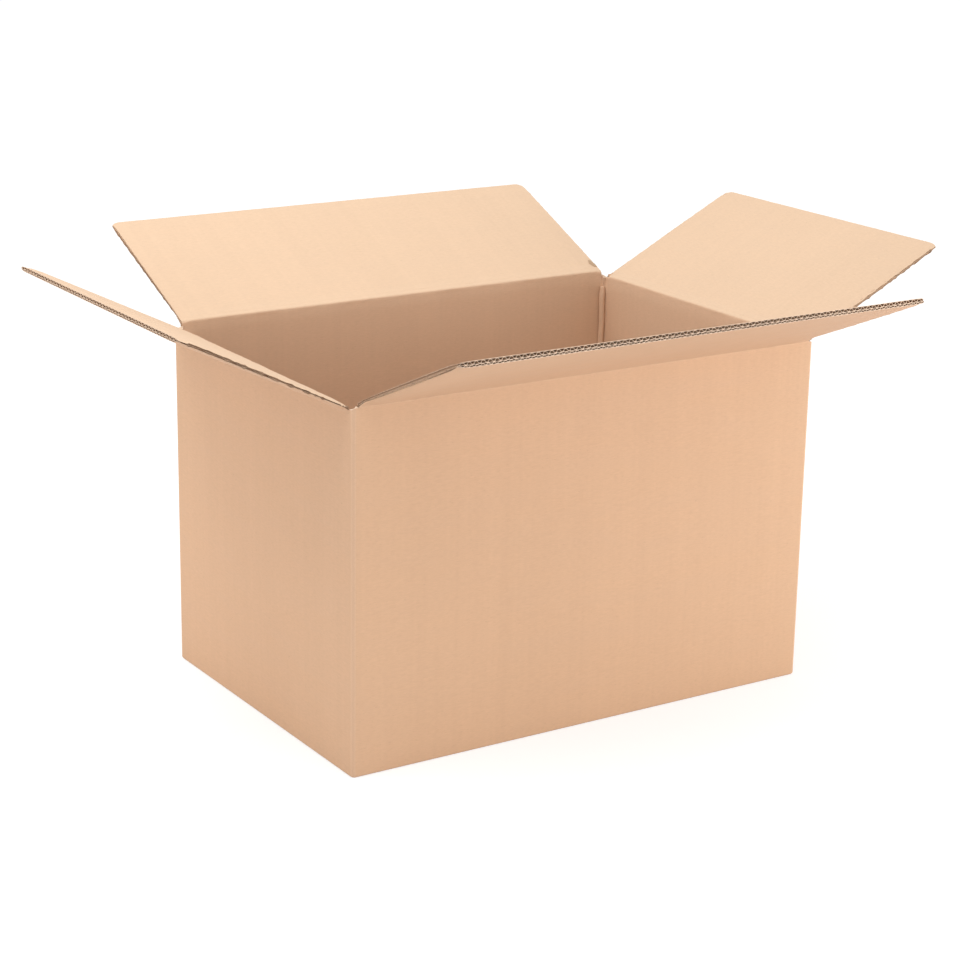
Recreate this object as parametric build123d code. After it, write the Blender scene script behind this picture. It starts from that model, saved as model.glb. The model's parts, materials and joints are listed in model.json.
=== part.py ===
from build123d import *
import math
import os

# Open corrugated carton, in millimetres.
# A slotted container folded from one sheet of double wall board and glued along
# one upright corner.  The bottom is closed, and the four top flaps stand open.
# +Z is up, +X runs along the long panels, and the origin is on the floor under
# the middle of the carton.  The front panel faces -Y.

# Board, layer by layer from the outer face to the inner face
liner = 0.4
b_flute_height = 2.3
c_flute_height = 3.5
b_flute_pitch = 6.5
c_flute_pitch = 8.0
medium_thickness = 0.3
flute_clearance = 0.05
board = 3 * liner + b_flute_height + c_flute_height

# Carton
inside_length = 600.0
inside_width = 404.0
crease_height = 414.0
upright_crease_radius = 5.0
bottom_crease_radius = 3.0
bead_radius = 6.0
bead_clearance = 1.0

# Flaps
slot_clearance = 0.5
slot_margin = 0.4
seam_gap = 2.0
stack_clearance = 0.5
long_flap_angle = 156.5
end_flap_angle = 153.6

# Creases of the top flaps
hinge_offset = 0.08
hinge_clearance = 0.08
crease_tip = 1.2
crush_length = 9.5
bar_length = 12.0

# Glued corner
tab_width = 38.0
tab_thickness = 5.0
tab_slant = 14.0
raw_edge_setback = 1.0
floor_clearance = 1.0

# Worked out from the sizes above
outer_length = inside_length + 2 * board
outer_width = inside_width + 2 * board
flap_inset = board + slot_clearance
long_flap_width = outer_length - 2 * flap_inset
end_flap_width = outer_width - 2 * flap_inset
crease_step = board + stack_clearance
end_crease_height = crease_height - crease_step
long_flap_length = outer_width / 2 + hinge_offset - seam_gap / 2
end_flap_length = long_flap_length + crease_step
crease_root = hinge_offset + hinge_clearance / math.sqrt(2)
under_closed_flaps = end_crease_height - hinge_offset - board

LONG_AXIS = Vector(1, 0, 0)
CROSS_AXIS = Vector(0, 1, 0)
UP = Vector(0, 0, 1)


def slab(x_low, x_high, y_low, y_high, z_low, z_high):
    """Box given by its lowest and highest corners."""
    size = (x_high - x_low, y_high - y_low, z_high - z_low)
    middle = ((x_low + x_high) / 2, (y_low + y_high) / 2, (z_low + z_high) / 2)
    return Pos(*middle) * Box(*size)


def section_bar(points, width):
    """Section drawn in Y and Z, run evenly to both sides along X."""
    outline = make_face(Polyline(*points, close=True))
    return extrude(Plane.YZ * outline, amount=width / 2, both=True)


def crease_frame(inward, pivot, angle):
    """Frame of a top crease: X along it, Y along the flap, Z out of the flap's outer face.

    The angle is 0 for a closed flap, 90 for one that stands straight up.
    """
    turn = math.radians(angle)
    outward_normal = UP * math.cos(turn) - inward * math.sin(turn)
    return Plane(origin=pivot, x_dir=inward.cross(UP), z_dir=outward_normal)


def crease_pivot(inward, half_depth, height):
    """Middle of a top crease, just outside the wall's outer face."""
    return inward * -(half_depth + hinge_offset) + UP * height


# Flap


def flute_sheet(width, pitch, height, depth, start, end):
    """Fluted medium between two liners; depth is its middle below the crease plane."""
    bends = round(2 * width / pitch)
    step = width / bends
    slope = (height - 2 * flute_clearance) / step
    thickness = medium_thickness * math.hypot(1, slope)
    swing = height / 2 - flute_clearance - thickness / 2
    middle_line = [(k * step - width / 2, depth + swing * (-1) ** k) for k in range(bends + 1)]
    near_side = [(x, y - thickness / 2) for x, y in middle_line]
    far_side = [(x, y + thickness / 2) for x, y in reversed(middle_line)]
    end_grain = make_face(Polyline(*near_side, *far_side, close=True))
    across = Plane(origin=(0, start, 0), x_dir=(1, 0, 0), z_dir=(0, 1, 0))
    return extrude(across * end_grain, amount=end - start)


def crushed_root(width):
    """Solid strip beside the crease, where the board is pressed thin."""
    outer = -hinge_offset
    inner = outer - board
    section = [
        (crease_root, outer),
        (bar_length, outer),
        (bar_length, inner),
        (crease_root + crush_length, inner),
        (crease_root + crease_tip, outer - crease_tip),
    ]
    return section_bar(section, width)


def flap(width, length):
    """Flap in its crease frame: three liners and two fluted mediums on a crushed root."""
    overlap = board / 4
    start = bar_length - overlap
    outer = -hinge_offset
    b_middle = hinge_offset + liner + b_flute_height / 2
    c_middle = hinge_offset + 2 * liner + b_flute_height + c_flute_height / 2
    liner_tops = [outer, outer - liner - b_flute_height, outer - board + liner]
    pieces = [slab(-width / 2, width / 2, start, length, top - liner, top) for top in liner_tops]
    pieces.append(flute_sheet(width, b_flute_pitch, b_flute_height, b_middle, start, length))
    pieces.append(flute_sheet(width, c_flute_pitch, c_flute_height, c_middle, start, length))
    return crushed_root(width) + pieces


# Carton body


def crease_cut(inward, half_depth, height, width):
    """Space over a wall's top crease, down to the wall's crushed edge."""
    reach = board + crush_length
    wall_outer = hinge_offset
    wall_inner = hinge_offset + board
    section = [
        (-reach, reach),
        (-reach, -crease_root),
        (wall_outer, -crease_root),
        (wall_outer + crease_tip, -crease_root - crease_tip),
        (wall_inner, -crease_root - crush_length),
        (wall_inner + reach, -crease_root - crush_length),
        (wall_inner + reach, reach),
    ]
    frame = crease_frame(inward, crease_pivot(inward, half_depth, height), 0)
    return frame.location * section_bar(section, width + 2 * slot_margin)


def outer_block():
    """Outside of the carton, with its folded edges rounded and its glued corner square."""
    block = Pos(0, 0, crease_height / 2) * Box(outer_length, outer_width, crease_height)
    folded_corners = [
        edge
        for edge in block.edges().filter_by(Axis.Z)
        if edge.center().X > 0 or edge.center().Y < 0
    ]
    block = fillet(folded_corners, upright_crease_radius)
    bottom_face = block.faces().sort_by(Axis.Z)[0]
    block = fillet(bottom_face.edges(), bottom_crease_radius)
    raw_edge = slab(
        -outer_length,
        -inside_length / 2,
        outer_width / 2 - raw_edge_setback,
        outer_width,
        -board,
        2 * crease_height,
    )
    return block - raw_edge


def bottom_gaps():
    """Seam where the long bottom flaps meet, and the cuts at their ends."""
    half_length = inside_length / 2
    half_width = inside_width / 2
    flap_end = long_flap_width / 2
    seam = slab(-half_length, half_length, -seam_gap / 2, seam_gap / 2, -board, board)
    left_cut = slab(-half_length, -flap_end, -half_width, half_width, -board, board)
    right_cut = slab(flap_end, half_length, -half_width, half_width, -board, board)
    return [seam, left_cut, right_cut]


def bottom_end_flap(side):
    """Short bottom flap, folded in first and glued on top of the long ones."""
    reach = outer_width / 2 - seam_gap / 2
    wall_middle = side * (outer_length / 2 - board / 2)
    free_edge = side * (outer_length / 2 - reach)
    x_low = min(wall_middle, free_edge)
    x_high = max(wall_middle, free_edge)
    half_width = end_flap_width / 2
    return slab(x_low, x_high, -half_width, half_width, board, 2 * board)


def corner_bead(x, y):
    """Bead that the inner liner makes along an upright crease."""
    low = board
    high = under_closed_flaps - bead_clearance
    return Pos(x, y, (low + high) / 2) * Cylinder(bead_radius, high - low)


def glue_tab():
    """Tab of the back panel, glued inside the left panel, with slanted ends."""
    outer = -inside_length / 2
    fold = inside_width / 2
    low = 2 * board + floor_clearance
    high = under_closed_flaps - bead_clearance
    outline = [
        (fold, low),
        (fold, high),
        (fold - tab_width, high - tab_slant),
        (fold - tab_width, low + tab_slant),
    ]
    face = Plane.YZ.offset(outer) * make_face(Polyline(*outline, close=True))
    return extrude(face, amount=tab_thickness)


def carton_body():
    half_length = inside_length / 2
    half_width = inside_width / 2
    inside = slab(-half_length, half_length, -half_width, half_width, board, 2 * crease_height)
    notch_width = end_flap_width / 2 + slot_margin
    end_notch = slab(
        -outer_length, outer_length, -notch_width, notch_width, end_crease_height, 2 * crease_height
    )
    body = outer_block() - [inside, end_notch, *bottom_gaps()]
    for across in (CROSS_AXIS, -CROSS_AXIS):
        body -= crease_cut(across, outer_width / 2, crease_height, long_flap_width)
    for along in (LONG_AXIS, -LONG_AXIS):
        body -= crease_cut(along, outer_length / 2, end_crease_height, end_flap_width)
    body += [bottom_end_flap(-1), bottom_end_flap(1)]
    body += [
        corner_bead(-half_length, -half_width),
        corner_bead(half_length, -half_width),
        corner_bead(half_length, half_width),
        glue_tab(),
    ]
    return body


# Assembly


def top_flaps():
    long_flap = flap(long_flap_width, long_flap_length)
    end_flap = flap(end_flap_width, end_flap_length)
    half_width = outer_width / 2
    half_length = outer_length / 2
    long_sides = {"front_flap": CROSS_AXIS, "back_flap": -CROSS_AXIS}
    end_sides = {"left_flap": LONG_AXIS, "right_flap": -LONG_AXIS}
    placed = {}
    for name, inward in long_sides.items():
        pivot = crease_pivot(inward, half_width, crease_height)
        placed[name] = crease_frame(inward, pivot, long_flap_angle).location * long_flap
    for name, inward in end_sides.items():
        pivot = crease_pivot(inward, half_length, end_crease_height)
        placed[name] = crease_frame(inward, pivot, end_flap_angle).location * end_flap
    return placed


parts = {"carton_body": carton_body(), **top_flaps()}

os.makedirs("parts", exist_ok=True)
for node, shape in parts.items():
    export_step(shape, f"parts/{node}.step")
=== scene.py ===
import json
import math

import bmesh
import bpy
import numpy as np
from mathutils import Matrix, Vector


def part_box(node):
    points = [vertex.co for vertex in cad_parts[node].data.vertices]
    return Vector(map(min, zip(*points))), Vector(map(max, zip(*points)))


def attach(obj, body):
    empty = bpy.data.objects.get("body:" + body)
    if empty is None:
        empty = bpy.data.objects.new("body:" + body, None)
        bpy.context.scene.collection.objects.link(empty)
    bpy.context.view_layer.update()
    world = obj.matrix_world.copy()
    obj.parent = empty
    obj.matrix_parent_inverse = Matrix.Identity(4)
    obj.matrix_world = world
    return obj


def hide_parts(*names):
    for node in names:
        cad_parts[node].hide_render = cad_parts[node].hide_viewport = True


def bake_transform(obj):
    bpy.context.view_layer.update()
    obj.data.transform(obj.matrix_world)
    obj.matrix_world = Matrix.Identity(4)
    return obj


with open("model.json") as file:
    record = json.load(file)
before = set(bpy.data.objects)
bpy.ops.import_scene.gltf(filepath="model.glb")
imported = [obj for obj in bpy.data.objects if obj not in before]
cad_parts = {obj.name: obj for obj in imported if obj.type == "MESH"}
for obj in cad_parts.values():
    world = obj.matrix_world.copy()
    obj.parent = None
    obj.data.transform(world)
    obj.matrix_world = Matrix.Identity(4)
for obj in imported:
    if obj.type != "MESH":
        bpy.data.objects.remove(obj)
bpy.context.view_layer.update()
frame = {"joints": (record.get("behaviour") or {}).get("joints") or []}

# Lengths are in metres, angles in degrees.

# Board, from the outer face to the inner face
LINER = 0.0004
B_FLUTE_HEIGHT = 0.0023
C_FLUTE_HEIGHT = 0.0035
B_FLUTE_PITCH = 0.0065
C_FLUTE_PITCH = 0.0080
BOARD = 3 * LINER + B_FLUTE_HEIGHT + C_FLUTE_HEIGHT
SWOLLEN_LINER = 0.0005
B_MEDIUM = 0.0006
C_MEDIUM = 0.0005
SIDE_STRIP = 0.0003
SIDE_STRIP_RECESS = 0.0014
TORN_OUTLINE = [
    (0.0006, 0.0086),
    (0.0002, 0.0150),
    (0.0020, 0.0230),
    (0.0054, 0.0240),
    (0.0085, 0.0170),
    (0.0064, 0.0100),
]
TORN_CRUMPLES = [(0.0018, 0.0158, 0.0016), (0.0046, 0.0160, 0.0010)]
TORN_LIFT = 0.0007
TIP_ROUND = 0.0030
TIP_ROUND_WIDTH = 0.0035
TORN_FLAP = "back_flap"
TORN_SIDE = -1
SAMPLES_PER_FLUTE = 10
SHARP_ANGLE = 32
FLUTE_SQUARENESS = 1.6
FLUTE_WAVER = 0.25
FLUTE_THICKENING = 1.8
FLUTE_RAGGED = 1.5
FLUTE_SHRINK = 0.6
FLUTE_ROWS = (0, 0.1, 0.25, 0.5, 1)

# Creases of the top flaps
HINGE_OFFSET = 0.00008
FOLD_REACH = 0.014
FOLD_STEPS = 8
FOLD_RUN_STEPS = 11
FOLD_STATION = 0.005
VALLEY_TANGENT = 0.0020
CREST_TANGENT = 0.0022
CREST_SETBACK = {
    "front_flap": 0.0020,
    "back_flap": 0.0010,
    "left_flap": 0.0052,
    "right_flap": 0.0012,
}
CREST_RAISE = {
    "front_flap": 0.0,
    "back_flap": 0.0013,
    "left_flap": 0.0,
    "right_flap": 0.0032,
}
CRUSHED_LENGTH = 0.0060
GROOVE_DEPTH = 0.00035
GROOVE_WIDTH = 0.0011
GROOVE_DISTANCE = 0.0062
GROOVE_WAVER = 0.5
CREST_WAVER = 0.00045
CREST_WAVER_STEPS = 6
WALL_HOLD_STEPS = 3
FLAP_HOLD_STEPS = 4
CRUMPLE = 0.00012
GAP_RECESS = 0.0010
CRUSH_ANCHOR = 0.70
CREST_CRUSH_SHARE = 0.45
END_VALLEY_LIFT = 0.0065
CORNER_CRUSH = 0.48
CORNER_CRUSH_WIDTH = 0.012
CORNER_CRUSH_REACH = 0.055
SIDE_CRUSH = {
    "front_flap": 0.18,
    "back_flap": 0.25,
    "left_flap": 0.52,
    "right_flap": 0.48,
}
SIDE_CRUSH_WIDTH = 0.006
SIDE_WAVER = 0.8
TIP_CRUSH = 0.30
TIP_CRUSH_WIDTH = 0.009
EDGE_CRUSH = {
    "front_flap": 0.08,
    "back_flap": 0.10,
    "left_flap": 0.30,
    "right_flap": 0.10,
}
EDGE_CRUSH_WIDTH = 0.012

# Walls
UPRIGHT_RADIUS = 0.0050
BOTTOM_RADIUS = 0.0030
BEAD_RADIUS = 0.0040
BEAD_GROOVE = 0.0006
BEAD_WAVER = 0.0006
BEAD_SINK = 0.0005
BEAD_TAPER = 0.008
BEAD_RISE = 0.0006
BEAD_CENTRE = 0.85
BEAD_ROOT = 0.2
BEAD_END_SHARE = 0.6
BEAD_SWELL = 0.08
BEAD_FLUTTER = 0.04
BEAD_ARC_START = -55
BEAD_ARC = 200
BEAD_GROOVE_PLACE = 0.58
BEAD_GROOVE_STEPS = 1.1
BEAD_GROOVE_WAVER = 0.8
TAB_BEAD_SHARE = 0.7
WALL_BOW = 0.0020
SLOT_CLEARANCE = 0.0005
POST_DROP = 0.0004
POST_FALL = 0.35
SEAM_GAP = 0.0020
RAW_EDGE_SETBACK = 0.0010
TAB_WIDTH = 0.038
TAB_THICKNESS = 0.005
TAB_SLANT = 0.014
TAB_CLEARANCE = 0.0015
BEVEL_SHARE = 0.08
RAW_CORNER = (3, 5)

CORNER_STEPS = 8
BOTTOM_STEPS = 4
BEAD_STEPS = 14
BEAD_STATION = 0.006
WALL_STATION = 0.022
GLUED_CORNER = 2
WALL_END = "end"
WALL_LONG = "long"
POST = "post"

# Cut edges
EDGE_RAGGED = 0.00020
EDGE_STATION = 0.0040
SIDE_RAGGED = 0.00070
SIDE_CURL = 0.00100
SIDE_STATION = 0.0045
SIDE_SHRINK = 0.7
JAG_RATE = 4.1
LAST_STATION_GAP = 0.003
CLOSE_STATIONS = (0.0005, 0.0012, 0.0030)

# Unevenness, as wavelength and weight
WOBBLE_WAVES = ((0.083, 0.4), (0.031, 0.3), (0.0127, 0.2), (0.0057, 0.1))
WOBBLE_SEED_TURN = 12.9898
WOBBLE_WAVE_TURN = 4373.0

# Camera, fitted to the photograph's corners, edges and flap ends
CAMERA_AZIMUTH = -32.852
CAMERA_ELEVATION = 16.902
CAMERA_ROLL = 0.985
CAMERA_DISTANCE = 2.8732
CAMERA_TARGET = Vector((-0.0148, 0.0, 0.2378))
CAMERA_FOCAL_PIXELS = 2433.8
IMAGE_PIXELS = 960
SENSOR_WIDTH_MM = 36.0
CAMERA_CLIP_END = 50

# Paper surface
SPECULAR_LEVEL = 0.35
FIBRE_STRETCH = 0.16
FIBRE_SCALE = 900
CLOUD_SCALE = 55
DRIFT_SCALE = 5
SPECK_SCALE = 1500
BAND_SCALE = 70
BAND_STRETCH = 0.02
MOTTLE = 0.04
CLOUD_SHARE = 0.2
DRIFT_SHARE = 0.3
BAND_SHARE = 0.3
WAVE_TONE = 0.003
SPECK_FROM = 0.70
SPECK_FULL = 0.78
SPECK_TONE = 0.86
NOISE_LOW = 0.3
NOISE_HIGH = 0.7
FIBRE_HEIGHT = 0.00006
CLOUD_HEIGHT = 0.00004
WASHBOARD = 0.00002
BUMP_STRENGTH = 0.6
GLOSS_LOW = 0.72
GLOSS_HIGH = 0.84

# Colours of the papers and the floor, as linear values
OUTER_LINER_COLOR = (0.615, 0.378, 0.228)
INNER_LINER_COLOR = (0.660, 0.470, 0.320)
# The walls' inner liner is a darker, redder copy of the inner liner: painted shade and coloured bounce
# for the inside of the carton
SHADED_INNER_WALL_COLOR = (0.650, 0.442, 0.298)
MEDIUM_COLOR = (0.560, 0.380, 0.250)
SHADED_MEDIUM_COLOR = (0.330, 0.195, 0.115)
CUT_EDGE_COLOR = (0.700, 0.520, 0.380)
# Torn liner: brown of the exposed fibres, made darker than the medium as painted shade of the torn
# hollow
TORN_AND_SHADE_COLOR = (0.430, 0.290, 0.180)
# Lighter copy of the outer liner for the rounded upright creases: a painted highlight where the
# rounding faces light from both sides
CREASE_HIGHLIGHT_COLOR = (0.660, 0.415, 0.260)
FLOOR_COLOR = (0.82, 0.88, 0.96)
FLOOR_SHADOW_COLOR = (0.50, 0.50, 0.50)
FLOOR_WHITE = 0.60

# Light
FLOOR_HALF_SIZE = 12.0
WORLD_STRENGTH = 0.87
OVERHEAD_POWER = 32.0
OVERHEAD_PLACE = (-0.8, 0.1, 2.4)
OVERHEAD_AIM = (0, 0, 0.3)
OVERHEAD_SIZE = (2.0, 1.8)
RIGHT_POWER = 14.0
RIGHT_PLACE = (1.2, -1.5, 0.4)
RIGHT_AIM = (0.2, -0.2, 0.2)
RIGHT_SIZE = (0.8, 0.8)
LEFT_POWER = 1.1
LEFT_PLACE = (-1.0, 0.25, 0.2)
LEFT_AIM = (-0.3, 0.15, 0.2)
LEFT_SIZE = (0.5, 0.4)

# Places of the papers in the list of materials
OUTER_LONG = 0
OUTER_END = 1
INNER_LONG = 2
INNER_END = 3
MEDIUM = 4
CUT_EDGE = 5
SHADED_MEDIUM = 6
# Paper with the painted highlight of the rounded upright creases
CREASE = 7
# Papers with the painted shade of the carton's inside walls
SHADED_WALL_INNER_LONG = 8
SHADED_WALL_INNER_END = 9
TORN = 10

carton_low, carton_high = [Vector(corner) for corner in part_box("carton_body")]
HALF_LENGTH = (carton_high.x - carton_low.x) / 2
HALF_WIDTH = (carton_high.y - carton_low.y) / 2
TOP = carton_high.z
UP = Vector((0, 0, 1))


# Materials


def add_node(tree, kind, **settings):
    node = tree.nodes.new(kind)
    for key, value in settings.items():
        setattr(node, key, value)
    return node


def math_node(tree, operation, first, second=None):
    """Math node whose inputs are sockets or numbers."""
    node = add_node(tree, "ShaderNodeMath", operation=operation)
    for socket, value in zip(node.inputs, (first, second)):
        if value is None:
            continue
        if isinstance(value, (int, float)):
            socket.default_value = value
        else:
            tree.links.new(value, socket)
    return node.outputs[0]


def noise_node(tree, vector, scale, detail, roughness):
    node = add_node(tree, "ShaderNodeTexNoise")
    node.inputs["Scale"].default_value = scale
    node.inputs["Detail"].default_value = detail
    node.inputs["Roughness"].default_value = roughness
    tree.links.new(vector, node.inputs["Vector"])
    return node.outputs["Fac"]


def stretched(tree, vector, factors):
    node = add_node(tree, "ShaderNodeVectorMath", operation="MULTIPLY")
    node.inputs[1].default_value = factors
    tree.links.new(vector, node.inputs[0])
    return node.outputs[0]


def ramp_node(tree, factor, low, high, low_value, high_value):
    """Factor mapped from low..high to two grey values."""
    node = add_node(tree, "ShaderNodeMapRange")
    node.inputs["From Min"].default_value = low
    node.inputs["From Max"].default_value = high
    node.inputs["To Min"].default_value = low_value
    node.inputs["To Max"].default_value = high_value
    tree.links.new(factor, node.inputs["Value"])
    return node.outputs["Result"]


def noise_tone(tree, factor, spread):
    """Noise turned into a tone that varies by the spread on both sides of 1."""
    return ramp_node(tree, factor, NOISE_LOW, NOISE_HIGH, 1 - spread, 1 + spread)


def paper(name, color, fibre_axis, mottle=MOTTLE, washboard=WASHBOARD):
    """Kraft paper: cloudy fibres along one axis, specks, and flutes that show through."""
    material = bpy.data.materials.new(name)
    material.use_nodes = True
    tree = material.node_tree
    shader = tree.nodes["Principled BSDF"]
    shader.inputs["Specular IOR Level"].default_value = SPECULAR_LEVEL
    position = add_node(tree, "ShaderNodeTexCoord").outputs["Object"]
    factors = [1, 1, 1]
    factors[fibre_axis] = FIBRE_STRETCH
    band_factors = [BAND_STRETCH, BAND_STRETCH, BAND_STRETCH]
    band_factors[fibre_axis] = 1
    fibre_space = stretched(tree, position, factors)
    fibres = noise_node(tree, fibre_space, FIBRE_SCALE, 4.0, 0.6)
    clouds = noise_node(tree, fibre_space, CLOUD_SCALE, 3.0, 0.55)
    drift = noise_node(tree, position, DRIFT_SCALE, 2.0, 0.5)
    specks = noise_node(tree, fibre_space, SPECK_SCALE, 1.0, 0.5)
    bands = noise_node(tree, stretched(tree, position, band_factors), BAND_SCALE, 3.0, 0.6)
    separate = add_node(tree, "ShaderNodeSeparateXYZ")
    tree.links.new(position, separate.inputs[0])
    turns = 2 * math.pi / C_FLUTE_PITCH
    turn = math_node(tree, "MULTIPLY", separate.outputs[fibre_axis], turns)
    wave = math_node(tree, "SINE", turn)
    tones = [
        noise_tone(tree, fibres, mottle),
        noise_tone(tree, clouds, mottle * CLOUD_SHARE),
        noise_tone(tree, drift, mottle * DRIFT_SHARE),
        noise_tone(tree, bands, mottle * BAND_SHARE),
        ramp_node(tree, wave, -1.0, 1.0, 1 - WAVE_TONE, 1 + WAVE_TONE),
        ramp_node(tree, specks, SPECK_FROM, SPECK_FULL, 1.0, SPECK_TONE),
    ]
    factor = tones[0]
    for tone in tones[1:]:
        factor = math_node(tree, "MULTIPLY", factor, tone)
    tint = add_node(tree, "ShaderNodeVectorMath", operation="SCALE")
    tint.inputs[0].default_value = color
    tree.links.new(factor, tint.inputs["Scale"])
    tree.links.new(tint.outputs[0], shader.inputs["Base Color"])
    fibre_height = math_node(tree, "MULTIPLY", fibres, FIBRE_HEIGHT)
    cloud_height = math_node(tree, "MULTIPLY", clouds, CLOUD_HEIGHT)
    wave_height = math_node(tree, "MULTIPLY", wave, washboard)
    height = math_node(tree, "ADD", fibre_height, cloud_height)
    height = math_node(tree, "ADD", height, wave_height)
    bump = add_node(tree, "ShaderNodeBump")
    bump.inputs["Distance"].default_value = 1.0
    bump.inputs["Strength"].default_value = BUMP_STRENGTH
    tree.links.new(height, bump.inputs["Height"])
    tree.links.new(bump.outputs[0], shader.inputs["Normal"])
    gloss = ramp_node(tree, clouds, NOISE_LOW, NOISE_HIGH, GLOSS_LOW, GLOSS_HIGH)
    tree.links.new(gloss, shader.inputs["Roughness"])
    return material


papers = [
    paper("outer_liner_long", OUTER_LINER_COLOR, 0),
    paper("outer_liner_end", OUTER_LINER_COLOR, 1),
    paper("inner_liner_long", INNER_LINER_COLOR, 0),
    paper("inner_liner_end", INNER_LINER_COLOR, 1),
    paper("fluted_medium", MEDIUM_COLOR, 0, mottle=0.12, washboard=0.0),
    paper("cut_edge", CUT_EDGE_COLOR, 0, mottle=0.15, washboard=0.0),
    paper("shaded_medium", SHADED_MEDIUM_COLOR, 0, mottle=0.15, washboard=0.0),
    # Outer liner made lighter as a painted highlight on the upright creases
    paper("crease_highlight", CREASE_HIGHLIGHT_COLOR, 0, washboard=0.0),
    # Inner liner copies with painted shade, for the walls inside the carton
    paper("shaded_inner_wall_long", SHADED_INNER_WALL_COLOR, 0),
    paper("shaded_inner_wall_end", SHADED_INNER_WALL_COLOR, 1),
    # Torn fibre colour with painted shade of the hollow under the flake
    paper("torn_liner_and_shade", TORN_AND_SHADE_COLOR, 0, washboard=0.0),
]


# Mesh helpers


class Mesher:
    """Collects vertices and faces with a paper for each face."""

    def __init__(self):
        self.points = []
        self.faces = []
        self.papers = []
        self.smooth = []

    def add_points(self, points):
        first = len(self.points)
        self.points.extend([tuple(p) for p in points])
        return first

    def add_face(self, corners, paper_index, smooth=False):
        self.faces.append(tuple(corners))
        self.papers.append(paper_index)
        self.smooth.append(smooth)

    def build(self, name, body):
        mesh = bpy.data.meshes.new(name)
        mesh.from_pydata(self.points, [], self.faces)
        for material in papers:
            mesh.materials.append(material)
        mesh.polygons.foreach_set("material_index", self.papers)
        mesh.polygons.foreach_set("use_smooth", self.smooth)
        mesh.validate()
        shell = bmesh.new()
        shell.from_mesh(mesh)
        bmesh.ops.recalc_face_normals(shell, faces=shell.faces)
        shell.to_mesh(mesh)
        shell.free()
        mesh.set_sharp_from_angle(angle=math.radians(SHARP_ANGLE))
        piece = bpy.data.objects.new(name, mesh)
        bpy.context.scene.collection.objects.link(piece)
        if body is not None:
            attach(piece, body)
        return piece


def wobble(position, seed):
    """Smooth unevenness between -1 and 1 along a length, the same each time."""
    value = 0.0
    for wavelength, weight in WOBBLE_WAVES:
        phase = seed * WOBBLE_SEED_TURN + wavelength * WOBBLE_WAVE_TURN
        value = value + weight * np.sin(2 * math.pi * position / wavelength + phase)
    return value


def stations(low, high, step):
    """Evenly spaced values from low to high, about one step apart."""
    count = max(2, int(round((high - low) / step)) + 1)
    return np.linspace(low, high, count)


# Flaps


class Crease:
    """Place of one top crease and its flap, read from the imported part."""

    def __init__(self, joint):
        self.body = joint["child"]
        self.pivot = Vector(joint["pos_m"])
        self.angle = math.radians(-joint["range_deg"][0])
        self.inward = Vector((-self.pivot.x, -self.pivot.y, 0)).normalized()
        self.along = self.inward.cross(UP)
        self.out = self.inward * math.cos(self.angle) + UP * math.sin(self.angle)
        self.deep = self.inward * math.sin(self.angle) - UP * math.cos(self.angle)
        low, high = [Vector(corner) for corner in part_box(self.body)]
        span = high - low
        self.is_long = abs(self.along.x) > 0.5
        self.width = span.x if self.is_long else span.y
        edge = high if -self.inward.dot(Vector((1, 1, 0))) > 0 else low
        reach = abs((edge - self.pivot).dot(self.inward))
        drift = HINGE_OFFSET * math.sin(self.angle)
        self.length = (reach + drift) / -math.cos(self.angle)
        self.seed = joint["name"].count("r") + 3.1 * self.pivot.x + 5.7 * self.pivot.y

    def to_side(self, across):
        """Distance to the nearer cut side of the flap."""
        return max(0.0, self.width / 2 - abs(across))

    def crush(self, across, reach):
        """Share of the thickness left where cutting and handling pressed the flap's sides."""
        to_side = self.to_side(across)
        if to_side > 3 * CORNER_CRUSH_WIDTH:
            return 1.0
        corner = math.exp(-((to_side / CORNER_CRUSH_WIDTH) ** 2) - reach / CORNER_CRUSH_REACH)
        side = math.exp(-((to_side / SIDE_CRUSH_WIDTH) ** 2))
        to_tip = self.length - reach
        tip = math.exp(-(((to_side**2 + to_tip**2) / TIP_CRUSH_WIDTH**2)))
        waver = 1 + SIDE_WAVER * wobble(reach * JAG_RATE, self.seed + math.copysign(1, across))
        return 1 - CORNER_CRUSH * corner - (SIDE_CRUSH[self.body] * side + TIP_CRUSH * tip) * waver

    def tip_cut(self, across):
        """How far the flap's rounded tips stand back from its cut edge."""
        return TIP_ROUND * math.exp(-((self.to_side(across) / TIP_ROUND_WIDTH) ** 2))

    def on_flap(self, across, reach, depth):
        """Point on the flap, with the board pressed thinner towards its sides and cut edge."""
        anchor = HINGE_OFFSET + CRUSH_ANCHOR * BOARD
        pressed = anchor + (depth - anchor) * self.crush(across, reach)
        edge = EDGE_CRUSH[self.body] * math.exp(-(((self.length - reach) / EDGE_CRUSH_WIDTH) ** 2))
        pressed -= (pressed - HINGE_OFFSET) * edge
        return self.pivot + self.along * across + self.out * reach + self.deep * pressed

    def in_section(self, across, inward, height):
        """Point near the crease, by its place inward of and above the pivot."""
        return self.pivot + self.along * across + self.inward * inward + UP * height


def thin_shell(mesher, low, high, rows, columns, face_paper, side_paper):
    """Faces of a closed thin sheet between two grids of points."""

    def at(first, row, column):
        return first + row * columns + column

    for row in range(rows - 1):
        for column in range(columns - 1):
            quad = [(row, column), (row, column + 1), (row + 1, column + 1), (row + 1, column)]
            mesher.add_face([at(low, r, c) for r, c in quad], face_paper, True)
            mesher.add_face([at(high, r, c) for r, c in reversed(quad)], face_paper, True)
    for column in range(columns - 1):
        for row, order in ((0, 1), (rows - 1, -1)):
            face = [at(low, row, column), at(high, row, column)]
            face += [at(high, row, column + 1), at(low, row, column + 1)]
            mesher.add_face(face[::order], CUT_EDGE)
    for row in range(rows - 1):
        for column, order in ((0, -1), (columns - 1, 1)):
            face = [at(low, row, column), at(high, row, column)]
            face += [at(high, row + 1, column), at(low, row + 1, column)]
            mesher.add_face(face[::order], side_paper)


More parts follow.
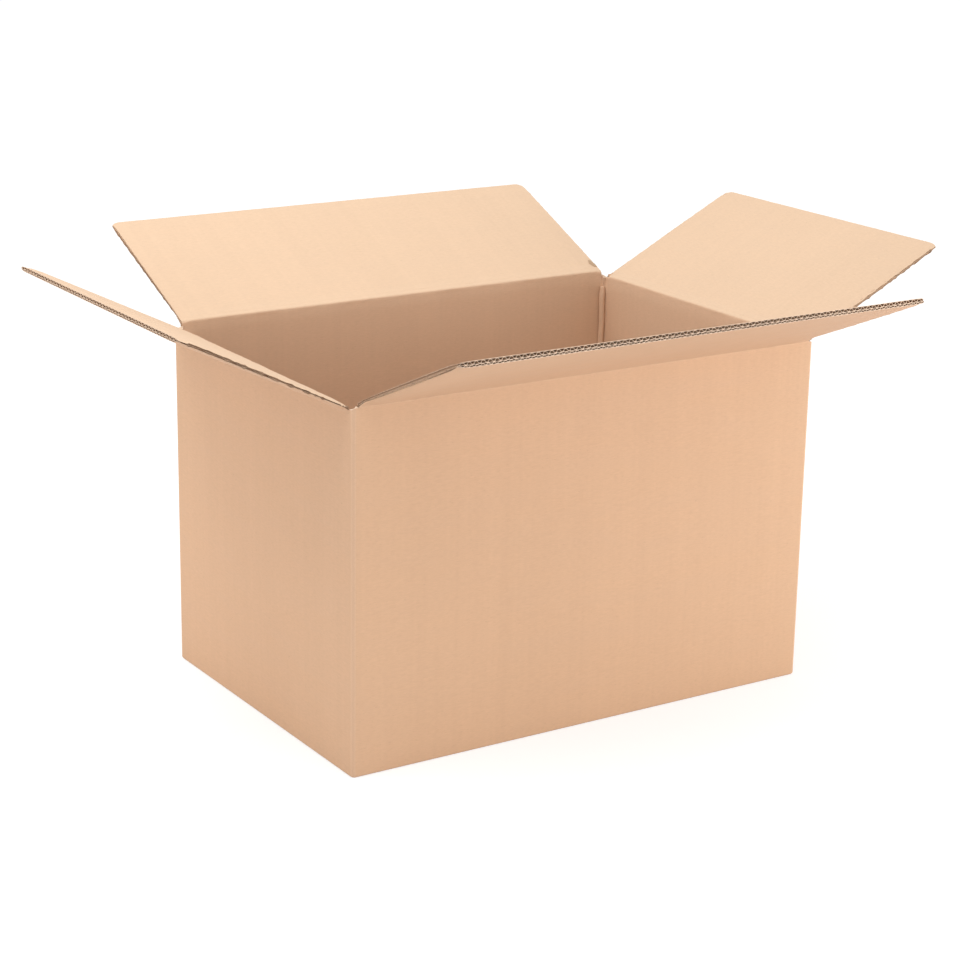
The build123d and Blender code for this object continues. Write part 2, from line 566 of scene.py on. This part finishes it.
def sheet(mesher, crease, across, reach, depths, paper_index, seed):
    """Liner on a flap, ragged where it was cut."""
    rows = len(reach)
    columns = len(across)
    firsts = []
    for depth in depths:
        points = []
        for row, length in enumerate(reach):
            near_edge = 1.0 if row == rows - 1 else 0.0
            for column, place in enumerate(across):
                side = 1.0 if column == columns - 1 else -1.0 if column == 0 else 0.0
                cut = length + near_edge * (EDGE_RAGGED * wobble(place, seed) - crease.tip_cut(place))
                jag = wobble(length * JAG_RATE, seed + 1.7 + side) - SIDE_SHRINK
                trim = place + side * SIDE_RAGGED * jag
                curl = abs(side) * SIDE_CURL * wobble(length * JAG_RATE, seed + 5.1 + side)
                points.append(crease.on_flap(trim, cut, depth + curl))
        firsts.append(mesher.add_points(points))
    thin_shell(mesher, *firsts, rows, columns, paper_index, MEDIUM)


def fluted_sheet(mesher, crease, pitch, height, medium, middle, reach, seed):
    """Wavy medium between two liners."""
    waves = crease.width / pitch
    columns = int(round(waves * SAMPLES_PER_FLUTE)) + 1
    across = np.linspace(-crease.width / 2, crease.width / 2, columns)
    phase = 2 * math.pi * across / pitch + FLUTE_WAVER * wobble(across, seed)
    swing = (height - medium) / 2
    wave = swing * np.tanh(FLUTE_SQUARENESS * np.sin(phase)) / math.tanh(FLUTE_SQUARENESS)
    slope = np.gradient(wave, across)
    thickness = medium * np.minimum(np.hypot(1, slope), FLUTE_THICKENING)
    rows = len(reach)
    firsts = []
    for side in (-0.5, 0.5):
        points = []
        for row, length in enumerate(reach):
            near_edge = 1.0 if row == rows - 1 else 0.0
            for column, place in enumerate(across):
                jag = wobble(place, seed + 2.3) - FLUTE_SHRINK
                ragged = near_edge * EDGE_RAGGED * FLUTE_RAGGED * jag
                ragged -= near_edge * crease.tip_cut(place)
                depth = middle + wave[column] + side * thickness[column]
                points.append(crease.on_flap(place, length + ragged, depth))
        firsts.append(mesher.add_points(points))
    thin_shell(mesher, *firsts, rows, columns, MEDIUM, SHADED_MEDIUM)


def side_strip(mesher, crease, side, reach, low, high):
    """Flank of the outermost flute, which closes the cut side of a flap."""
    place = crease.width / 2 - SIDE_STRIP_RECESS
    first = len(mesher.points)
    for length in reach:
        waver = SIDE_RAGGED * wobble(length * JAG_RATE, crease.seed + low * 900)
        for inset in (0.0, SIDE_STRIP):
            for depth in (low, high):
                mesher.add_points([crease.on_flap(side * (place + waver - inset), length, depth)])
    rings = [(0, 1), (1, 3), (3, 2), (2, 0)]
    for row in range(len(reach) - 1):
        here = first + 4 * row
        for a, b in rings:
            mesher.add_face([here + a, here + b, here + 4 + b, here + 4 + a], SHADED_MEDIUM)
    last = first + 4 * (len(reach) - 1)
    mesher.add_face([first, first + 2, first + 3, first + 1], SHADED_MEDIUM)
    mesher.add_face([last, last + 1, last + 3, last + 2], SHADED_MEDIUM)


def flap_board(crease):
    """Flap from its crushed root to its cut edge, layer by layer."""
    mesher = Mesher()
    across = stations(-crease.width / 2, crease.width / 2, EDGE_STATION)
    half = crease.width / 2
    near_sides = [half - step for step in CLOSE_STATIONS]
    across = np.array(sorted({*across, *near_sides, *[-place for place in near_sides]}))
    root = FOLD_REACH
    end = crease.length
    reach = [*stations(root, end - LAST_STATION_GAP, SIDE_STATION), end]
    outer_paper = OUTER_LONG if crease.is_long else OUTER_END
    inner_paper = INNER_LONG if crease.is_long else INNER_END
    outer = HINGE_OFFSET
    middle = outer + LINER + B_FLUTE_HEIGHT
    inner = outer + BOARD
    low = middle + (LINER - SWOLLEN_LINER) / 2
    sheet(mesher, crease, across, reach, (outer, outer + SWOLLEN_LINER), outer_paper, crease.seed)
    sheet(mesher, crease, across, reach, (low, low + SWOLLEN_LINER), MEDIUM, crease.seed + 0.9)
    sheet(mesher, crease, across, reach, (inner - SWOLLEN_LINER, inner), inner_paper, crease.seed + 2.2)
    b_middle = outer + LINER + B_FLUTE_HEIGHT / 2
    c_middle = middle + LINER + C_FLUTE_HEIGHT / 2
    flute_reach = [root + (end - root) * share for share in FLUTE_ROWS]
    b_flute = (B_FLUTE_PITCH, B_FLUTE_HEIGHT, B_MEDIUM, b_middle)
    c_flute = (C_FLUTE_PITCH, C_FLUTE_HEIGHT, C_MEDIUM, c_middle)
    fluted_sheet(mesher, crease, *b_flute, flute_reach, crease.seed)
    fluted_sheet(mesher, crease, *c_flute, flute_reach, crease.seed)
    strip_reach = stations(root, end - TIP_ROUND, SIDE_STATION)
    for side in (-1, 1):
        side_strip(mesher, crease, side, strip_reach, outer + LINER, middle)
        side_strip(mesher, crease, side, strip_reach, middle + LINER, inner - LINER)
    piece = mesher.build(crease.body + "_board", crease.body)
    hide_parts(crease.body)
    return piece


def torn_corner(crease, side):
    """Crumpled flake of liner where the slot cut tore a flap's root corner."""
    mesher = Mesher()
    face = HINGE_OFFSET + BOARD + TORN_LIFT
    foot = []
    rim = []
    for back, reach in TORN_OUTLINE:
        across = side * (crease.width / 2 - back)
        foot.append(crease.on_flap(across, reach, face))
        rim.append(crease.on_flap(across, reach, face + LINER))
    low = mesher.add_points(foot)
    high = mesher.add_points(rim)
    crumples = []
    for back, reach, lift in TORN_CRUMPLES:
        crumples.append(crease.on_flap(side * (crease.width / 2 - back), reach, face + lift))
    first, second = [mesher.add_points([crumple]) for crumple in crumples]
    count = len(TORN_OUTLINE)
    for k in range(count):
        after = (k + 1) % count
        mesher.add_face([low + k, low + after, high + after, high + k], CUT_EDGE)
        peak = first if k < count // 2 else second
        # The flake's top takes the torn paper: fibre colour with painted shade
        mesher.add_face([high + k, high + after, peak], TORN)
    mesher.add_face([high, second, first], TORN)
    mesher.add_face([high + count // 2, first, second], TORN)
    mesher.add_face([low + k for k in range(count)], TORN)
    return mesher.build(crease.body + "_torn_corner", crease.body)


def rounded_turn(start, corner, end, steps):
    """Points on a smooth bend from start to end that leans towards the corner."""
    points = []
    for k in range(steps + 1):
        t = k / steps
        points.append((1 - t) ** 2 * start + 2 * t * (1 - t) * corner + t**2 * end)
    return points


def fold_section(crease):
    """Outer and inner outline of the folded crease, as inward and height from the pivot."""
    wall = np.array((0.0, 1.0))
    flap = np.array((math.cos(crease.angle), math.sin(crease.angle)))
    deep = np.array((math.sin(crease.angle), -math.cos(crease.angle)))
    mitre = math.tan((crease.angle - math.pi / 2) / 2)
    outlines = []
    for depth, is_inner in ((HINGE_OFFSET, False), (HINGE_OFFSET + BOARD, True)):
        wall_end = np.array((depth, -FOLD_REACH))
        flap_end = flap * FOLD_REACH + deep * depth
        corner = np.array((depth, depth * mitre))
        tangent = VALLEY_TANGENT
        leaving = flap
        slant_start = np.array((depth, -CRUSHED_LENGTH))
        if is_inner:
            corner = corner + flap * CREST_SETBACK[crease.body] + wall * CREST_RAISE[crease.body]
            tangent = CREST_TANGENT
            leaving = (flap_end - corner) / np.linalg.norm(flap_end - corner)
        arriving = (corner - slant_start) / np.linalg.norm(corner - slant_start)
        bend_start = corner - arriving * tangent
        bend_end = corner + leaving * tangent
        outline = [wall_end, (wall_end + slant_start) / 2]
        outline += [slant_start + (bend_start - slant_start) * share for share in (0, 0.35, 0.7)]
        outline += rounded_turn(bend_start, corner, bend_end, FOLD_STEPS)
        shares = np.linspace(0, 1, FOLD_RUN_STEPS + 1)[1:]
        outline += [bend_end + (flap_end - bend_end) * share for share in shares]
        outlines.append(outline)
    return outlines


def fold_points(crease, outer, inner, place):
    """Outer and inner points of one section of the crease, with its unevenness there."""
    count = len(outer)
    crest = 5 + FOLD_STEPS / 2
    lengths = [0.0]
    for k in range(1, count):
        lengths.append(lengths[-1] + float(np.linalg.norm(inner[k] - inner[k - 1])))
    crest_length = lengths[int(crest)]
    outer_spots = []
    inner_spots = []
    for k in range(count):
        hold = min(1.0, k / WALL_HOLD_STEPS, (count - 1 - k) / FLAP_HOLD_STEPS)
        dent = CRUMPLE * wobble(place * 1.7, crease.seed + 4.0 + k * 0.2)
        step = outer[min(k + 1, count - 1)] - outer[max(k - 1, 0)]
        normal = np.array((step[1], -step[0])) / np.linalg.norm(step)
        outer_spot = outer[k] + normal * dent * hold
        step = inner[min(k + 1, count - 1)] - inner[max(k - 1, 0)]
        normal = np.array((step[1], -step[0])) / np.linalg.norm(step)
        away = (lengths[k] - crest_length - GROOVE_DISTANCE) / GROOVE_WIDTH
        groove = 1 + GROOVE_WAVER * wobble(place, crease.seed + 1.1)
        lift = -GROOVE_DEPTH * math.exp(-away * away) * groove
        lift += CRUMPLE * wobble(place * 1.3, crease.seed + k * 0.15)
        near_crest = math.exp(-(((k - crest) / CREST_WAVER_STEPS) ** 2))
        lift += CREST_WAVER * near_crest * wobble(place * 0.6, crease.seed + 7.0)
        inner_spot = inner[k] + normal * lift * hold
        along_flap = max(0.0, (k - crest) / (count - 1 - crest))
        pressed = 1 - crease.crush(place, FOLD_REACH * along_flap)
        outer_share = CRUSH_ANCHOR * along_flap
        share_here = CREST_CRUSH_SHARE + (1 - CREST_CRUSH_SHARE) * along_flap
        inner_share = (1 - outer_share) * share_here * (hold if k < crest else 1.0)
        board_across = inner_spot - outer_spot
        valley_share = 0.0 if crease.is_long else pressed * (1 - along_flap) * hold
        valley_lift = END_VALLEY_LIFT * valley_share
        outer_spot = outer_spot + board_across * pressed * outer_share + np.array((0, valley_lift))
        inner_spot = inner_spot - board_across * pressed * inner_share
        outer_spots.append(outer_spot)
        inner_spots.append(inner_spot)
    return outer_spots, inner_spots


def layer_profile():
    """Cut board across its thickness: share from the outer face, recess, and the strip's paper."""
    edges = [LINER, LINER + B_FLUTE_HEIGHT, 2 * LINER + B_FLUTE_HEIGHT, BOARD - LINER]
    shares = [edge / BOARD for edge in edges]
    profile = []
    for gap in (0, 2):
        profile += [(shares[gap], 0.0), (shares[gap], GAP_RECESS)]
        profile += [(shares[gap + 1], GAP_RECESS), (shares[gap + 1], 0.0)]
    strip_papers = [CUT_EDGE, MEDIUM, SHADED_MEDIUM, MEDIUM] * 2 + [CUT_EDGE]
    return profile, strip_papers


def fold_piece(crease):
    """Crushed strip of board that bends over a top crease, with its layers open at both ends."""
    mesher = Mesher()
    outer, inner = fold_section(crease)
    count = len(outer)
    across = stations(-crease.width / 2, crease.width / 2, FOLD_STATION)
    columns = len(across)
    sections = [fold_points(crease, outer, inner, place) for place in across]
    firsts = []
    for side in (0, 1):
        points = []
        for place, spots in zip(across, sections):
            points += [crease.in_section(place, *spot) for spot in spots[side]]
        firsts.append(mesher.add_points(points))
    low, high = firsts
    outer_paper = OUTER_LONG if crease.is_long else OUTER_END
    inner_paper = INNER_LONG if crease.is_long else INNER_END
    wall_paper = SHADED_WALL_INNER_LONG if crease.is_long else SHADED_WALL_INNER_END
    crest = 5 + FOLD_STEPS // 2
    profile, strip_papers = layer_profile()
    layered = {}
    for column, way in ((0, 1), (columns - 1, -1)):
        for k in range(count):
            outer_spot, inner_spot = sections[column][0][k], sections[column][1][k]
            cut = []
            for share, recess in profile:
                spot = outer_spot + (inner_spot - outer_spot) * share
                cut.append(crease.in_section(across[column] + way * recess, *spot))
            first = mesher.add_points(cut)
            ends = [low + column * count + k] + list(range(first, first + len(profile)))
            layered[column, k] = ends + [high + column * count + k]
    for column in range(columns - 1):
        for k in range(count - 1):
            quad = [(column, k), (column, k + 1), (column + 1, k + 1), (column + 1, k)]
            mesher.add_face([low + c * count + i for c, i in quad], outer_paper, True)
            # Below the crest the fold's inner face takes the walls' paper with painted shade
            face_paper = wall_paper if k < crest else inner_paper
            mesher.add_face([high + c * count + i for c, i in reversed(quad)], face_paper, True)
        for k in (0, count - 1):
            here = layered.get((column, k), [low + column * count + k, high + column * count + k])
            after = layered.get((column + 1, k))
            after = after or [low + (column + 1) * count + k, high + (column + 1) * count + k]
            mesher.add_face(here + after[::-1], CUT_EDGE)
    for column in (0, columns - 1):
        for k in range(count - 1):
            for strip, strip_paper in enumerate(strip_papers):
                here = layered[column, k][strip : strip + 2]
                after = layered[column, k + 1][strip : strip + 2]
                mesher.add_face(here + after[::-1], strip_paper)
    piece = mesher.build(crease.body + "_fold", None)
    half = HINGE_OFFSET + BOARD / 2
    start = crease.in_section(0, half, -FOLD_REACH)
    end = crease.on_flap(0, FOLD_REACH, half)
    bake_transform(piece)
    return piece


# Carton


def corner_points(corner, arriving, forward, glued):
    """Outer outline round one upright corner, from the wall it ends to the wall it starts."""
    if glued:
        raw = RAW_EDGE_SETBACK
        offsets = [
            (BOARD + 0.0003, 0.0002),
            (BOARD + 0.0001, raw),
            (BOARD, 2 * raw),
            (BOARD - 0.0002, 1.2 * raw),
            (BOARD - 0.0005, raw),
            (BOARD / 2, raw),
            (0.0006, raw),
            (0.0001, raw + 0.0002),
            (0, raw + 0.0007),
        ]
        return [corner - arriving * back + forward * ahead for back, ahead in offsets]
    points = []
    centre = corner + (forward - arriving) * UPRIGHT_RADIUS
    for k in range(CORNER_STEPS + 1):
        turn = math.pi / 2 * k / CORNER_STEPS
        points.append(centre + (arriving * math.sin(turn) - forward * math.cos(turn)) * UPRIGHT_RADIUS)
    return points


def post_top(share):
    """Height of a corner post, from the end wall's side at 0 to the long wall's side at 1."""
    step = BOARD + SLOT_CLEARANCE
    blend = share * share * (3 - 2 * share)
    return TOP - POST_DROP - step * POST_FALL * (1 - blend)


class Column:
    """One upright line of the folded wall: its outer and inner foot and the post's top there."""

    def __init__(self, outer, inner, outward, bow, post_z):
        self.outer = outer
        self.inner = inner
        self.outward = outward
        self.bow = bow
        self.post_z = post_z

    def point(self, is_inner, height, rounding):
        foot = self.inner if is_inner else self.outer
        swell = WALL_BOW * self.bow * math.sin(math.pi * min(1.0, height / END_CREASE)) ** 2
        inset = 0.0 if is_inner else rounding
        shift = self.outward * (swell - inset)
        return foot + shift + UP * height


def wall_columns():
    """Columns round the carton, and for each gap to the next column its level and papers."""
    slot = BOARD + SLOT_CLEARANCE
    corners = [((1, -1), (1, 0)), ((1, 1), (0, 1)), ((-1, 1), (-1, 0)), ((-1, -1), (0, -1))]
    columns = []
    gaps = []
    for index, (signs, heading) in enumerate(corners):
        corner = Vector((signs[0] * HALF_LENGTH, signs[1] * HALF_WIDTH, 0))
        arriving = Vector((*heading, 0))
        forward = UP.cross(arriving)
        is_long = abs(arriving.x) > 0.5
        span = 2 * (HALF_LENGTH if is_long else HALF_WIDTH) - 2 * slot
        start = corner - arriving * (span + slot)
        side = 1.0 if is_long else 0.0
        # Inner faces of the walls take the liner copy with painted shade
        wall_papers = (OUTER_LONG, SHADED_WALL_INNER_LONG) if is_long else (OUTER_END, SHADED_WALL_INNER_END)
        for place in stations(0, span, WALL_STATION):
            outer = start + arriving * place
            inner = outer + forward * BOARD
            bow = math.sin(math.pi * place / span)
            columns.append(Column(outer, inner, -forward, bow, post_top(side)))
            gaps.append((WALL_LONG if is_long else WALL_END, wall_papers))
        gaps[-1] = (POST, (OUTER_LONG, SHADED_WALL_INNER_LONG))
        outers = corner_points(corner, arriving, forward, index == GLUED_CORNER)
        hub = corner + (forward - arriving) * slot
        for k, outer in enumerate(outers):
            turn = math.pi / 2 * (k + 0.5) / len(outers)
            way = arriving * math.sin(turn) - forward * math.cos(turn)
            share = k / (len(outers) - 1)
            height_share = 1 - share if is_long else share
            inner = hub + way * SLOT_CLEARANCE
            columns.append(Column(outer, inner, way, 0.0, post_top(height_share)))
            raw = index == GLUED_CORNER and RAW_CORNER[0] <= k <= RAW_CORNER[1]
            # The middle of each rounded upright crease gets the lighter paper, a painted highlight
            is_highlit = index != GLUED_CORNER and 1 <= k <= CORNER_STEPS - 2
            outer_paper = CUT_EDGE if raw else CREASE if is_highlit else OUTER_LONG
            gaps.append((POST, (outer_paper, SHADED_WALL_INNER_LONG)))
    return columns, gaps


def carton_shell():
    """Folded walls with their upright creases, up to the crushed strips of the top creases."""
    columns, gaps = wall_columns()
    rows = []
    for k in range(BOTTOM_STEPS + 1):
        turn = math.pi / 2 * k / BOTTOM_STEPS
        height = BOTTOM_RADIUS * (1 - math.cos(turn))
        rows.append((height, BOTTOM_RADIUS * (1 - math.sin(turn))))
    heights = stations(BOTTOM_RADIUS, END_CREASE - FOLD_REACH, WALL_STATION)
    rows += [(height, 0.0) for height in heights[1:]]
    top_rows = {WALL_END: len(rows) - 1, WALL_LONG: len(rows), POST: len(rows) + 1}
    mesher = Mesher()
    known = {}

    def at(column, row, is_inner):
        key = (column % len(columns), row, is_inner)
        if key not in known:
            line = columns[key[0]]
            if row < len(rows):
                point = line.point(is_inner, *rows[row])
            elif row == len(rows):
                point = line.point(is_inner, TOP - FOLD_REACH, 0.0)
            else:
                point = line.point(is_inner, line.post_z, 0.0)
            known[key] = mesher.add_points([point])
        return known[key]

    for index, (level, (outer_paper, inner_paper)) in enumerate(gaps):
        top = top_rows[level]
        for row in range(top):
            quad = [(index, row), (index + 1, row), (index + 1, row + 1), (index, row + 1)]
            mesher.add_face([at(c, r, False) for c, r in quad], outer_paper, outer_paper != CUT_EDGE)
            mesher.add_face([at(c, r, True) for c, r in reversed(quad)], inner_paper, level != POST)
        rim = [at(index, top, False), at(index + 1, top, False)]
        rim += [at(index + 1, top, True), at(index, top, True)]
        mesher.add_face(rim, CUT_EDGE)
        foot = [at(index, 0, True), at(index + 1, 0, True)]
        foot += [at(index + 1, 0, False), at(index, 0, False)]
        mesher.add_face(foot, outer_paper)
        next_top = top_rows[gaps[(index + 1) % len(gaps)][0]]
        low, high = sorted((top, next_top))
        for row in range(low, high):
            side = [at(index + 1, row, False), at(index + 1, row + 1, False)]
            side += [at(index + 1, row + 1, True), at(index + 1, row, True)]
            mesher.add_face(side if next_top > top else side[::-1], CUT_EDGE)
    piece = mesher.build("carton_shell", "carton")
    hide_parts("carton_body")
    return piece


def inner_bead(name, hub, first_way, second_way, radius, seed):
    """Bead that the inner liner makes along an upright crease, pinched in at both sides."""
    mesher = Mesher()
    low = 2 * BOARD - BEAD_SINK
    high = END_CREASE - BOARD + BEAD_RISE
    heights = stations(low, high, BEAD_STATION)
    centre = hub + (first_way + second_way) * radius * BEAD_CENTRE
    for height in heights:
        fade = min(1.0, BEAD_END_SHARE + (1 - BEAD_END_SHARE) * (high - height) / BEAD_TAPER)
        swell = 1 + BEAD_SWELL * wobble(height * 0.9, seed)
        lean = BEAD_WAVER * wobble(height * 0.6, seed + 2.0)
        ring = [hub - (first_way + second_way) * BOARD * BEAD_ROOT]
        for k in range(BEAD_STEPS + 1):
            turn = math.radians(BEAD_ARC_START + BEAD_ARC * k / BEAD_STEPS)
            way = first_way * math.cos(turn) + second_way * math.sin(turn)
            away = (k - BEAD_STEPS * BEAD_GROOVE_PLACE) / BEAD_GROOVE_STEPS
            groove = BEAD_GROOVE * math.exp(-(away**2))
            groove = groove * (1 + BEAD_GROOVE_WAVER * wobble(height * 0.8, seed + 5.0))
            flutter = 1 + BEAD_FLUTTER * wobble(height * 1.9, seed + 0.3 * k)
            length = radius * swell * fade * flutter - groove
            ring.append(centre + way * length + (second_way - first_way) * lean)
        mesher.add_points([point + UP * height for point in ring])
    size = BEAD_STEPS + 2
    for row in range(len(heights) - 1):
        for k in range(size):
            after = (k + 1) % size
            here = row * size
            above = here + size
            face = [here + k, here + after, above + after, above + k]
            # The bead takes the walls' inner paper with painted shade
            mesher.add_face(face, SHADED_WALL_INNER_LONG, True)
    mesher.add_face(range(size), SHADED_WALL_INNER_LONG)
    last = (len(heights) - 1) * size
    mesher.add_face(range(last, last + size), SHADED_WALL_INNER_LONG)
    return mesher.build(name, "carton")


def plate(name, outline, normal, thickness, face_papers):
    """Flat piece of board: its outline at the face, thickened along the normal."""
    mesher = Mesher()
    count = len(outline)
    bevel = thickness * BEVEL_SHARE
    middle = sum(outline, Vector()) / count
    rings = []
    for inset, depth in ((bevel, 0), (0, bevel), (0, thickness - bevel), (bevel, thickness)):
        ring = [point + (middle - point).normalized() * inset + normal * depth for point in outline]
        rings.append(mesher.add_points(ring))
    for first, second in zip(rings, rings[1:]):
        for k in range(count):
            after = (k + 1) % count
            mesher.add_face([first + k, first + after, second + after, second + k], CUT_EDGE)
    mesher.add_face([rings[0] + k for k in reversed(range(count))], face_papers[0])
    mesher.add_face([rings[-1] + k for k in range(count)], face_papers[1])
    return mesher.build(name, "carton")


def bottom_flaps():
    """Two short bottom flaps inside, and two long ones under them that meet at the seam."""
    inner_x = HALF_LENGTH - BOARD
    inner_y = HALF_WIDTH - BOARD
    end_x = inner_x - SLOT_CLEARANCE
    for sign, side in ((-1, "front"), (1, "back")):
        y_wall = sign * inner_y
        y_seam = sign * SEAM_GAP / 2
        corners = [(-end_x, y_wall), (end_x, y_wall), (end_x, y_seam), (-end_x, y_seam)]
        outline = [Vector((x, y, 0)) for x, y in corners]
        if sign > 0:
            outline.reverse()
        plate(f"bottom_{side}_flap", outline, UP, BOARD, (OUTER_LONG, INNER_LONG))
    reach = HALF_WIDTH - SEAM_GAP / 2
    end_y = inner_y - SLOT_CLEARANCE
    for sign, side in ((-1, "left"), (1, "right")):
        x_wall = sign * inner_x
        x_edge = sign * (HALF_LENGTH - reach)
        corners = [(x_wall, -end_y), (x_edge, -end_y), (x_edge, end_y), (x_wall, end_y)]
        outline = [Vector((x, y, BOARD)) for x, y in corners]
        if sign > 0:
            outline.reverse()
        plate(f"bottom_{side}_flap", outline, UP, BOARD, (OUTER_END, INNER_END))


def glue_tab():
    """Tab of the back panel, glued inside the left panel, with slanted ends."""
    x = -(HALF_LENGTH - BOARD)
    fold = HALF_WIDTH - BOARD
    low = 2 * BOARD + TAB_CLEARANCE
    high = END_CREASE - BOARD - TAB_CLEARANCE
    corners = [
        (fold, low),
        (fold, high),
        (fold - TAB_WIDTH, high - TAB_SLANT),
        (fold - TAB_WIDTH, low + TAB_SLANT),
    ]
    outline = [Vector((x, y, z)) for y, z in corners]
    return plate("glue_tab", outline, Vector((1, 0, 0)), TAB_THICKNESS, (OUTER_END, INNER_END))


def corner_beads():
    """A bead in each inner corner; the glued corner's is slimmer and stands on the tab."""
    x = HALF_LENGTH - BOARD
    y = HALF_WIDTH - BOARD
    east = Vector((1, 0, 0))
    north = Vector((0, 1, 0))
    inner_bead("bead_front_left", Vector((-x, -y, 0)), north, east, BEAD_RADIUS, 1.0)
    inner_bead("bead_front_right", Vector((x, -y, 0)), -east, north, BEAD_RADIUS, 2.0)
    inner_bead("bead_back_right", Vector((x, y, 0)), -north, -east, BEAD_RADIUS, 3.0)
    tab_corner = Vector((-x + TAB_THICKNESS, y, 0))
    inner_bead("bead_back_left", tab_corner, east, -north, BEAD_RADIUS * TAB_BEAD_SHARE, 4.0)


# Stage


def add_camera():
    azimuth = math.radians(CAMERA_AZIMUTH)
    elevation = math.radians(CAMERA_ELEVATION)
    roll = math.radians(CAMERA_ROLL)
    back = Vector(
        (
            math.sin(azimuth) * math.cos(elevation),
            -math.cos(azimuth) * math.cos(elevation),
            math.sin(elevation),
        )
    )
    level_right = UP.cross(back).normalized()
    level_up = back.cross(level_right)
    right = level_right * math.cos(roll) + level_up * math.sin(roll)
    up = level_up * math.cos(roll) - level_right * math.sin(roll)
    data = bpy.data.cameras.new("camera")
    data.sensor_width = SENSOR_WIDTH_MM
    data.lens = CAMERA_FOCAL_PIXELS / IMAGE_PIXELS * SENSOR_WIDTH_MM
    data.clip_end = CAMERA_CLIP_END
    camera = bpy.data.objects.new("camera", data)
    rotation = Matrix((right, up, back)).transposed().to_4x4()
    camera.matrix_world = Matrix.Translation(CAMERA_TARGET + back * CAMERA_DISTANCE) @ rotation
    bpy.context.scene.collection.objects.link(camera)
    bpy.context.scene.camera = camera


def seen_directly(tree):
    """1 for camera, mirror and glass rays, 0 for the rays that light the scene."""
    path = add_node(tree, "ShaderNodeLightPath")
    glossy = path.outputs["Is Glossy Ray"]
    mirrored = math_node(tree, "MAXIMUM", glossy, path.outputs["Is Transmission Ray"])
    return math_node(tree, "MAXIMUM", path.outputs["Is Camera Ray"], mirrored)


def add_floor():
    """Pale studio floor that runs into the white backdrop and keeps a soft shadow."""
    half = FLOOR_HALF_SIZE
    corners = [(-half, -half, 0), (half, -half, 0), (half, half, 0), (-half, half, 0)]
    mesh = bpy.data.meshes.new("floor")
    mesh.from_pydata(corners, [], [(0, 1, 2, 3)])
    floor = bpy.data.objects.new("floor", mesh)
    bpy.context.scene.collection.objects.link(floor)
    material = bpy.data.materials.new("studio_floor")
    material.use_nodes = True
    tree = material.node_tree
    tree.nodes.clear()
    plain = add_node(tree, "ShaderNodeBsdfDiffuse")
    plain.inputs["Color"].default_value = (*FLOOR_COLOR, 1)
    shadowed = add_node(tree, "ShaderNodeBsdfDiffuse")
    shadowed.inputs["Color"].default_value = (*FLOOR_SHADOW_COLOR, 1)
    white = add_node(tree, "ShaderNodeEmission")
    white.inputs["Strength"].default_value = FLOOR_WHITE
    sweep = add_node(tree, "ShaderNodeAddShader")
    mix = add_node(tree, "ShaderNodeMixShader")
    output = add_node(tree, "ShaderNodeOutputMaterial")
    tree.links.new(shadowed.outputs[0], sweep.inputs[0])
    tree.links.new(white.outputs[0], sweep.inputs[1])
    tree.links.new(seen_directly(tree), mix.inputs[0])
    tree.links.new(plain.outputs[0], mix.inputs[1])
    tree.links.new(sweep.outputs[0], mix.inputs[2])
    tree.links.new(mix.outputs[0], output.inputs["Surface"])
    mesh.materials.append(material)


def add_area_light(name, place, aim, size, power):
    data = bpy.data.lights.new(name, "AREA")
    data.shape = "RECTANGLE"
    data.size = size[0]
    data.size_y = size[1]
    data.energy = power
    light = bpy.data.objects.new(name, data)
    light.location = place
    light.rotation_euler = (Vector(aim) - Vector(place)).to_track_quat("-Z", "Y").to_euler()
    bpy.context.scene.collection.objects.link(light)


def add_light():
    world = bpy.data.worlds.new("studio")
    bpy.context.scene.world = world
    world.use_nodes = True
    tree = world.node_tree
    tree.nodes.clear()
    fill = add_node(tree, "ShaderNodeBackground")
    fill.inputs["Color"].default_value = (1, 1, 1, 1)
    fill.inputs["Strength"].default_value = WORLD_STRENGTH
    backdrop = add_node(tree, "ShaderNodeBackground")
    backdrop.inputs["Color"].default_value = (1, 1, 1, 1)
    backdrop.inputs["Strength"].default_value = 1.0
    mix = add_node(tree, "ShaderNodeMixShader")
    output = add_node(tree, "ShaderNodeOutputWorld")
    tree.links.new(seen_directly(tree), mix.inputs[0])
    tree.links.new(fill.outputs[0], mix.inputs[1])
    tree.links.new(backdrop.outputs[0], mix.inputs[2])
    tree.links.new(mix.outputs[0], output.inputs["Surface"])
    add_area_light("overhead", OVERHEAD_PLACE, OVERHEAD_AIM, OVERHEAD_SIZE, OVERHEAD_POWER)
    add_area_light("right_softbox", RIGHT_PLACE, RIGHT_AIM, RIGHT_SIZE, RIGHT_POWER)
    add_area_light("left_softbox", LEFT_PLACE, LEFT_AIM, LEFT_SIZE, LEFT_POWER)


creases = [Crease(joint) for joint in frame["joints"]]
END_CREASE = min(crease.pivot.z for crease in creases)

carton_shell()
corner_beads()
glue_tab()
bottom_flaps()
for crease in creases:
    flap_board(crease)
    fold_piece(crease)
    if crease.body == TORN_FLAP:
        torn_corner(crease, TORN_SIDE)
add_camera()
add_floor()
add_light()
bpy.context.scene.view_settings.view_transform = "Standard"
